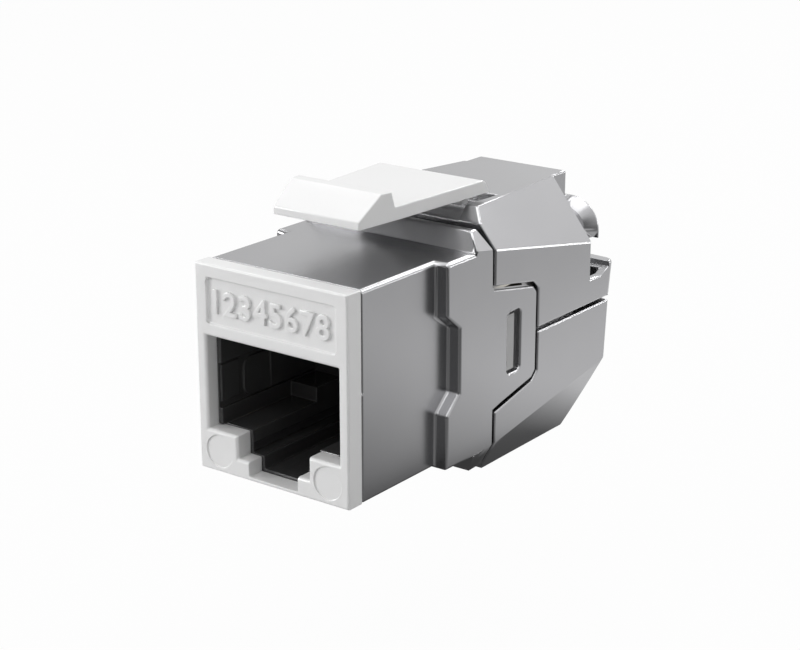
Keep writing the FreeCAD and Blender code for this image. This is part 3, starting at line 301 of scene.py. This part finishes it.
def room_for(edge):
    """Just under half the way to the next edge, and half of a short neighbour at a corner."""
    room = 1.0
    for loop in edge.link_loops:
        for other in (beside.edge for beside in loop.face.loops):
            if other is edge or set(other.verts) & set(edge.verts):
                continue
            near = nearest_beside(edge, loop, other)
            if near is not None and near > touching:
                room = min(room, share_of_gap * near)
        corners = ((loop, loop.link_loop_prev), (loop.link_loop_next, loop.link_loop_next))
        for corner, beside in corners:
            if corner.is_convex and corner.calc_angle() < nearly_straight:
                room = min(room, share_of_neighbour * beside.edge.calc_length())
    return room


# %% Choose a radius for each edge
sharp_fold = math.radians(28.0)
smallest_radius = 0.02 * MM


def wanted_at(edge, radius, places):
    """The radius asked for at an edge's middle; a later place counts before an earlier one."""
    middle = (edge.verts[0].co + edge.verts[1].co) / 2
    spot = (abs(middle.x), middle.y, middle.z)
    for low, high, own_radius in places:
        if all(low[i] * MM <= spot[i] <= high[i] * MM for i in range(3)):
            radius = own_radius
    return radius


def weigh_edges(form, radius, places, widest):
    weights = form.edges.layers.float.new("bevel_weight_edge")
    for edge in form.edges:
        if len(edge.link_faces) != 2 or edge.calc_face_angle() < sharp_fold:
            continue
        width = min(wanted_at(edge, radius, places), room_for(edge))
        if width > smallest_radius:
            edge[weights] = width / widest
        else:
            edge.smooth = False


# %% The helper that dresses a solid
merge_distance = 0.01 * MM
flat_limit = math.radians(0.6)
facets_round_an_edge = 3


def dressed(node, body, material, radius, places=(), reshape=None):
    form = bmesh.new()
    form.from_mesh(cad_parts[node].data)
    bmesh.ops.remove_doubles(form, verts=form.verts, dist=merge_distance)
    if reshape:
        reshape(form)
    bmesh.ops.dissolve_limit(
        form, angle_limit=flat_limit, verts=form.verts, edges=form.edges, delimit={"NORMAL"})
    widest = max([radius] + [place[2] for place in places])
    weigh_edges(form, radius, places, widest)
    for face in form.faces:
        face.smooth = True
    mesh = bpy.data.meshes.new(node + "_dressed")
    form.to_mesh(mesh)
    form.free()
    mesh.materials.append(material)
    piece = add_object(node + "_dressed", mesh)
    bevel = piece.modifiers.new("edge_radius", "BEVEL")
    bevel.width = widest
    bevel.segments = facets_round_an_edge
    bevel.limit_method = "WEIGHT"
    bevel.use_clamp_overlap = False
    flat = piece.modifiers.new("flat_faces", "WEIGHTED_NORMAL")
    flat.keep_sharp = True
    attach(piece, body)
    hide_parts(node)
    print(piece.name, len(mesh.polygons), "faces")


# %% [markdown]
# ## The castings and their own radii
#
# The photograph shows thin lines along the seams, and broader ones along the top of
# the flange, down its front and round the tail's corners. Each such place is a box in
# millimetres, with X counted outwards on both sides, and the radius wanted inside it.
# A radius of 0 keeps an edge sharp: the inner edge of the saddle's flare, and the
# ends of the wing's rolled front, which is too tight to round twice.

# %% Radii by place
housing_places = [
    ((7.0, 1.2, 15.9), (8.9, 14.4, 17.0), 0.40 * MM),
    ((7.0, 10.0, -0.5), (8.9, 13.2, 15.9), 0.26 * MM),
]
shell_places = [
    ((0.0, 33.1, 12.0), (7.9, 33.4, 20.5), 0.0),
    ((0.0, 33.8, 12.0), (7.9, 34.4, 20.5), 0.05 * MM),
    ((6.0, 34.0, 8.0), (8.9, 36.0, 11.5), 0.24 * MM),
]
wing_places = [((6.9, 17.3, -2.6), (7.3, 17.9, -2.0), 0.0)]
print("places with their own radius:", len(housing_places + shell_places + wing_places))

# %% [markdown]
# ## The saddle's flare
#
# The cable leaves over a saddle that opens like a trumpet, which catches the light
# above and the dark below. The solid has a plain lip on a plain neck. Moving two
# rings of points is enough: the neck's end is drawn in, and the lip's front edge
# leans back towards its rear.


# %% Flare
def flare_the_saddle(form):
    lip_front, lip_rear, foot, close = 33.25 * MM, 34.25 * MM, 12.0 * MM, 0.02 * MM
    corner_round, drawn_in, lean = 2.25 * MM, 0.38 * MM, 0.85 * MM
    ring = [v for v in form.verts if abs(v.co.y - lip_front) < close and v.co.z > foot]
    outer = [
        v for v in ring
        if any(abs(edge.other_vert(v).co.y - lip_rear) < close for edge in v.link_edges)
    ]
    inner = [v for v in ring if v not in outer]
    centre_x = max(v.co.x for v in inner) - corner_round
    centre_z = max(v.co.z for v in inner) - corner_round
    for v in inner:
        outwards = Vector((max(abs(v.co.x) - centre_x, 0), 0, max(v.co.z - centre_z, 0)))
        if outwards.length > 0.8 * corner_round:
            outwards.normalize()
            outwards.x = math.copysign(outwards.x, v.co.x)
            v.co -= drawn_in * outwards
    bmesh.ops.translate(form, verts=outer, vec=(0, lean, 0))
    print("flared", len(outer), "points of the lip")


# %% Dress the castings
dressed("front_housing", "jack_body", casting, 0.18 * MM, housing_places)
dressed(
    "upper_shell", "jack_body", casting, 0.18 * MM, shell_places, flare_the_saddle)
dressed("lower_wing", "wing", casting, 0.16 * MM, wing_places)

# %% [markdown]
# ## The plastics and the inner pieces
#
# The moulded pieces have one small radius all round. The inner pieces are too small
# or too hidden for one, so the solids themselves take their finish.

# %% Dress the plastics
dressed("front_bezel", "jack_body", bezel_plastic, 0.10 * MM)
dressed("port_insert", "jack_body", insert_plastic, 0.10 * MM)
dressed("latch_lever", "latch", latch_plastic, 0.10 * MM)

# %% Finish the inner pieces
inner_finish = {
    "circuit_board": board_mask,
    "carrier_frame": frame_plastic,
    "wire_holder": frame_plastic,
    "hinge_pin": ground_steel,
}
for number in range(1, 9):
    inner_finish["contact_%d" % number] = gold
    inner_finish["idc_blade_%d" % number] = tinned
for node, material in inner_finish.items():
    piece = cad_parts[node]
    if not piece.material_slots:
        piece.data.materials.append(material)
    for holder in piece.material_slots:
        holder.material = material
print("finished", len(inner_finish), "inner pieces")

# %% [markdown]
# ## The raised numbers
#
# The label place carries small raised figures, moulded with the bezel. Here they are
# the plain numbers of the eight contacts. A text curve is extruded a little and made
# a mesh, then squeezed to the label's width and laid on the label's floor.

# %% Make the numbers
text_data = bpy.data.curves.new("contact_numbers", "FONT")
text_data.body = "12345678"
text_data.size = 2.6 * MM
text_data.align_x = "CENTER"
text_data.align_y = "CENTER"
text_data.extrude = 0.14 * MM
text_data.bevel_depth = 0.07 * MM
text_data.bevel_resolution = 3
text_data.space_character = 1.12
text_object = add_object("contact_numbers_text", text_data)
bpy.context.view_layer.update()
number_mesh = bpy.data.meshes.new_from_object(text_object)
bpy.data.objects.remove(text_object)
print("numbers have", len(number_mesh.polygons), "faces")

# %% Lay the numbers on the label's floor
numbers_wide = 11.2 * MM
label_floor = 0.25 * MM
label_middle = 13.72 * MM
across = [v.co.x for v in number_mesh.vertices]
upwards = [v.co.y for v in number_mesh.vertices]
middle = Vector((min(across) + max(across), min(upwards) + max(upwards), 0)) / 2
squeeze = numbers_wide / (max(across) - min(across))
number_mesh.transform(Matrix.Translation(-middle))
number_mesh.transform(Matrix.Diagonal((squeeze, 1, 1, 1)))
number_mesh.transform(Matrix.Rotation(math.radians(90), 4, "X"))
number_mesh.transform(Matrix.Translation((0, label_floor, label_middle)))
number_mesh.materials.clear()
number_mesh.materials.append(bezel_plastic)
numbers = add_object("contact_numbers", number_mesh)
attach(numbers, "jack_body")
wide, _, high = numbers.dimensions / MM
print("numbers are", round(wide, 2), "by", round(high, 2), "mm")

# %% [markdown]
# ## The studio
#
# The photograph is a product shot on white. Metal shows little but its surroundings,
# so the surroundings matter more than the lamps: here the studio is white to the
# camera, and in reflections it is white behind and above the jack and dark low down
# on the side that the camera stands on. That draws the bands of the casting. A
# bright patch and a dark one, like a reflector and a flag beside the camera, shape
# the saddle's flare. As a light the world is a plain grey, so that the lamps can
# shape the plastics.

# %% Studio helpers
white = (1, 1, 1, 1)


def is_seen(tree, share):
    """Is Camera Ray, and the share that camera, mirrored and transmitted rays get of the glow."""
    path = add_node(tree, "LightPath").outputs
    direct = add_node(
        tree, "Math", {0: path["Is Camera Ray"], 1: path["Is Glossy Ray"]}, operation="MAXIMUM")
    any_of_them = add_node(
        tree, "Math", {0: direct.outputs[0], 1: path["Is Transmission Ray"]}, operation="MAXIMUM")
    part = add_node(tree, "Math", {0: any_of_them.outputs[0], 1: share}, operation="MULTIPLY")
    return path["Is Camera Ray"], part.outputs[0]


def blended(tree, factor, first, second, way="MIX"):
    mix = add_node(
        tree, "Mix", {"Factor": factor, 6: first, 7: second}, data_type="RGBA", blend_type=way)
    return mix.outputs[2]


def stretched(tree, source, start, end, way="LINEAR"):
    """A value that is 0 up to the start and 1 past the end."""
    spread = add_node(
        tree, "MapRange", {"Value": source, "From Min": start, "From Max": end},
        interpolation_type=way)
    return spread.outputs[0]


def facing(tree, direction, towards):
    """How far a ray points towards a direction."""
    near = add_node(tree, "VectorMath", {0: direction, 1: towards}, operation="DOT_PRODUCT")
    return near.outputs["Value"]


def sky_patch(tree, direction, sky, towards, full, gone, tone):
    """Blend a round patch into the sky, full inside one angle and gone outside another."""
    edge_in, edge_out = math.cos(math.radians(full)), math.cos(math.radians(gone))
    near = facing(tree, direction, Vector(towards).normalized())
    inside = stretched(tree, near, edge_out, edge_in, "SMOOTHSTEP")
    return blended(tree, inside, sky, (*grey(tone), 1))


# %% World
behind_and_above = (0.35, 0.6, 1.0)
reflector = {"towards": (0.43, -0.67, 0.60), "full": 8, "gone": 20, "tone": 1.25}
flag = {"towards": (0.70, -0.68, 0.24), "full": 12, "gone": 22, "tone": 0.05}
world = bpy.data.worlds.new("white_studio")
bpy.context.scene.world = world
world.use_nodes = True
tree = world.node_tree
tree.nodes.clear()
camera_ray, seen = is_seen(tree, 1.0)
direction = add_node(tree, "TexCoord").outputs["Generated"]
backwards = stretched(tree, facing(tree, direction, behind_and_above), -0.15, 0.7)
sky = add_ramp(tree, backwards, [(0.0, grey(0.15)), (1.0, grey(1.0))])
for patch in (reflector, flag):
    sky = sky_patch(tree, direction, sky, **patch)
light = add_node(tree, "Background", {"Color": white, "Strength": 0.41})
view = add_node(
    tree, "Background", {"Color": blended(tree, camera_ray, sky, white), "Strength": 1.0})
mix = add_node(tree, "MixShader", {"Fac": seen, 1: light.outputs[0], 2: view.outputs[0]})
add_node(tree, "OutputWorld", {"Surface": mix.outputs[0]})
bpy.context.scene.view_settings.view_transform = "Standard"
print("world has", len(tree.nodes), "nodes")

# %% [markdown]
# ## The floor and what the metal mirrors
#
# The jack is a panel part, and its wing swings down below it, so the floor lies 3 mm
# lower than the open wing reaches. It is white to the camera and keeps a faint shadow.
# In the studio the metal mirrors a table that grades from dark in front of the jack
# to white behind it. A glowing card right below the jack stands for that table: its
# grading is a painted reflection, and a dark spot under the jack is a painted contact
# shadow. Only mirrored rays meet the card, so it hides nothing and shades nothing when
# the wing is open.


# %% Helper for the floor and the card
sheet_reach = 0.6


def level_sheet(name, height, share):
    """A wide level sheet that mixes a matt white with a glow for the rays that see it."""
    form = bmesh.new()
    bmesh.ops.create_grid(form, x_segments=1, y_segments=1, size=sheet_reach)
    bmesh.ops.translate(form, verts=form.verts, vec=(0, 0, height))
    mesh = bpy.data.meshes.new(name)
    form.to_mesh(mesh)
    form.free()
    sheet = add_object(name, mesh)
    finish, tree, shader, place = new_finish(name + "_finish")
    fill(tree, shader, {"Base Color": (*grey(0.55), 1), "Roughness": 0.9})
    camera_ray, seen = is_seen(tree, share)
    glow = add_node(tree, "Emission", {"Color": white, "Strength": 1.0})
    mix = add_node(tree, "MixShader", {"Fac": seen, 1: shader.outputs[0], 2: glow.outputs[0]})
    fill(tree, tree.nodes["Material Output"], {"Surface": mix.outputs[0]})
    mesh.materials.append(finish)
    print(name, "at", round(height / MM, 2), "mm")
    return sheet, tree, place, camera_ray, glow


# %% Floor
glow_share = 0.965
floor_level = -19.5 * MM
level_sheet("studio_floor", floor_level, glow_share)

# %% Card that the metal mirrors
card_level = cad_bounds[0][2] - 0.02 * MM
graded_length = 50 * MM
card, tree, place, camera_ray, glow = level_sheet("mirrored_card", card_level, glow_share)
card.visible_camera = False
card.visible_diffuse = False
card.visible_shadow = False
# The card's glow grades from dark in front to white behind: a painted reflection of the table.
parts = add_node(tree, "SeparateXYZ", {0: place}).outputs
to_the_back = add_ramp(tree, stretched(tree, parts["Y"], 0, graded_length), [
    (0.08, grey(0.22)), (0.36, grey(0.48)), (0.76, grey(0.92)), (1.0, grey(0.90)),
])
to_the_side = add_ramp(tree, stretched(tree, parts["X"], 0, graded_length), [
    (0.40, grey(1.0)), (0.85, grey(0.72)),
])

# %% Paint a contact shadow on the card under the jack
half_wide, half_long, jack_middle = 14, 27, 15
footprint = add_node(tree, "Mapping", {
    "Vector": place,
    "Location": (0, -jack_middle / half_long, 0),
    "Scale": (1 / (half_wide * MM), 1 / (half_long * MM), 0),
})
under = add_node(
    tree, "TexGradient", {"Vector": footprint.outputs["Vector"]}, gradient_type="SPHERICAL")
# Painted contact shadow: the card's glow is darkened in a soft spot under the jack.
painted_contact_shadow = add_ramp(tree, under.outputs["Fac"], [(0.0, grey(1.0)), (0.32, grey(0.2))])
graded = blended(tree, 1.0, to_the_back, to_the_side, "MULTIPLY")
graded = blended(tree, 1.0, graded, painted_contact_shadow, "MULTIPLY")
fill(tree, glow, {"Color": blended(tree, camera_ray, graded, white)})
print("card has", len(tree.nodes), "nodes")

# %% [markdown]
# ## The lamps
#
# A wide soft box overhead lights the tops of the plastics. One key lamp in front and
# above and one to the left give their fronts and slopes a shape. The others are small
# and add little light: each one stands where a rounded edge mirrors it to the eye, and
# draws one family of bright lines. Their places came from mirroring the line of sight
# in the middle of each kind of edge. Radiance, not power, is written for each lamp,
# because that is how bright it looks in the metal.


# %% Lamp helper
aim = Vector((0, 15, 8)) * MM


def lamp(name, towards, distance, wide, tall, radiance):
    data = bpy.data.lights.new(name, "AREA")
    data.shape = "RECTANGLE"
    data.size = wide * MM
    data.size_y = tall * MM
    data.energy = radiance * math.pi * data.size * data.size_y
    item = add_object(name, data)
    item.matrix_world = aimed(aim + Vector(towards).normalized() * distance * MM, aim)
    item.visible_camera = False
    print(name, round(data.energy, 4), "W")


# %% Lamps
lamp("soft_box_above", (0.12, -0.02, 0.99), 400, 300, 300, 1.9)
lamp("key_above", (-0.08, -0.66, 0.75), 400, 110, 110, 5.0)
lamp("key_left", (-0.80, -0.55, 0.23), 400, 120, 120, 15.0)
lamp("top_edge_light", (0.31, 0.76, 0.57), 430, 55, 55, 14)
lamp("crown_edge_light", (-0.18, 0.83, 0.52), 430, 90, 90, 12)
lamp("crease_edge_light", (0.55, 0.83, 0.07), 430, 50, 50, 13)
lamp("front_edge_strip", (-0.57, 0.14, 0.81), 430, 35, 170, 8)
lamp("mouth_edge_strip", (-0.57, -0.80, 0.20), 430, 35, 110, 8)
